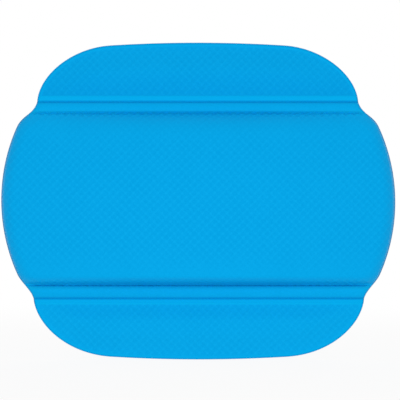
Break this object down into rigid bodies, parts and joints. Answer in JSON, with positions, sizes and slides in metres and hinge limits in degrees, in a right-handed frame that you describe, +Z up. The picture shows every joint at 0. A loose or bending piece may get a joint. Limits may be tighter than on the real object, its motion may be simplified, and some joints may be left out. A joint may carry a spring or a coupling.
{
  "type": "bath pillow",
  "caption": "Folding bath pillow: a thick foam cushion and a thin padded flap at each end in a welded, embossed vinyl cover, with suction cups behind the flaps.",
  "frame": {"origin": "middle of the pillow's flat back face, in the plane of the suction cups' rims", "axes": "+X to the right as one faces the pillow, +Y out of its back, towards the wall that it hangs on, and +Z up, towards the upper flap"},
  "size_m": [0.33, 0.0356, 0.2652],
  "materials": {
    "embossed_vinyl": "satin",
    "back_vinyl": "satin",
    "eyelet_vinyl": "satin",
    "foam": "matte",
    "clear_vinyl": "gloss"
  },
  "bodies": {
    "centre_cushion": {"centre_front_skin": "embossed_vinyl", "centre_back_skin": "back_vinyl", "centre_foam_core": "foam"},
    "upper_flap": {"upper_flap_front_skin": "embossed_vinyl", "upper_flap_back_skin": "back_vinyl", "upper_flap_foam_pad": "foam", "cup_eyelet_upper_1": "eyelet_vinyl", "cup_eyelet_upper_2": "eyelet_vinyl", "cup_eyelet_upper_3": "eyelet_vinyl", "cup_eyelet_upper_4": "eyelet_vinyl"},
    "lower_flap": {"lower_flap_front_skin": "embossed_vinyl", "lower_flap_back_skin": "back_vinyl", "lower_flap_foam_pad": "foam", "cup_eyelet_lower_1": "eyelet_vinyl", "cup_eyelet_lower_2": "eyelet_vinyl", "cup_eyelet_lower_3": "eyelet_vinyl", "cup_eyelet_lower_4": "eyelet_vinyl"},
    "cup_upper_1": {"suction_cup_upper_1": "clear_vinyl"},
    "cup_upper_2": {"suction_cup_upper_2": "clear_vinyl"},
    "cup_upper_3": {"suction_cup_upper_3": "clear_vinyl"},
    "cup_upper_4": {"suction_cup_upper_4": "clear_vinyl"},
    "cup_lower_1": {"suction_cup_lower_1": "clear_vinyl"},
    "cup_lower_2": {"suction_cup_lower_2": "clear_vinyl"},
    "cup_lower_3": {"suction_cup_lower_3": "clear_vinyl"},
    "cup_lower_4": {"suction_cup_lower_4": "clear_vinyl"}
  },
  "joints": [
    {"name": "upper_flap_fold", "type": "hinge", "parent": "centre_cushion", "child": "upper_flap", "pos_m": [0, -0.014, 0.083], "axis": [-1, 0, 0], "range_deg": [-90, 90], "stiffness_Nm_per_rad": 0.08},
    {"name": "lower_flap_fold", "type": "hinge", "parent": "centre_cushion", "child": "lower_flap", "pos_m": [0, -0.014, -0.0816], "axis": [1, 0, 0], "range_deg": [-90, 90], "stiffness_Nm_per_rad": 0.08},
    {"name": "cup_upper_1_swivel", "type": "hinge", "parent": "upper_flap", "child": "cup_upper_1", "pos_m": [-0.084, -0.01, 0.111], "axis": [0, 1, 0], "continuous": true},
    {"name": "cup_upper_2_swivel", "type": "hinge", "parent": "upper_flap", "child": "cup_upper_2", "pos_m": [-0.028, -0.01, 0.111], "axis": [0, 1, 0], "continuous": true},
    {"name": "cup_upper_3_swivel", "type": "hinge", "parent": "upper_flap", "child": "cup_upper_3", "pos_m": [0.028, -0.01, 0.111], "axis": [0, 1, 0], "continuous": true},
    {"name": "cup_upper_4_swivel", "type": "hinge", "parent": "upper_flap", "child": "cup_upper_4", "pos_m": [0.084, -0.01, 0.111], "axis": [0, 1, 0], "continuous": true},
    {"name": "cup_lower_1_swivel", "type": "hinge", "parent": "lower_flap", "child": "cup_lower_1", "pos_m": [-0.084, -0.01, -0.1096], "axis": [0, 1, 0], "continuous": true},
    {"name": "cup_lower_2_swivel", "type": "hinge", "parent": "lower_flap", "child": "cup_lower_2", "pos_m": [-0.028, -0.01, -0.1096], "axis": [0, 1, 0], "continuous": true},
    {"name": "cup_lower_3_swivel", "type": "hinge", "parent": "lower_flap", "child": "cup_lower_3", "pos_m": [0.028, -0.01, -0.1096], "axis": [0, 1, 0], "continuous": true},
    {"name": "cup_lower_4_swivel", "type": "hinge", "parent": "lower_flap", "child": "cup_lower_4", "pos_m": [0.084, -0.01, -0.1096], "axis": [0, 1, 0], "continuous": true}
  ]
}
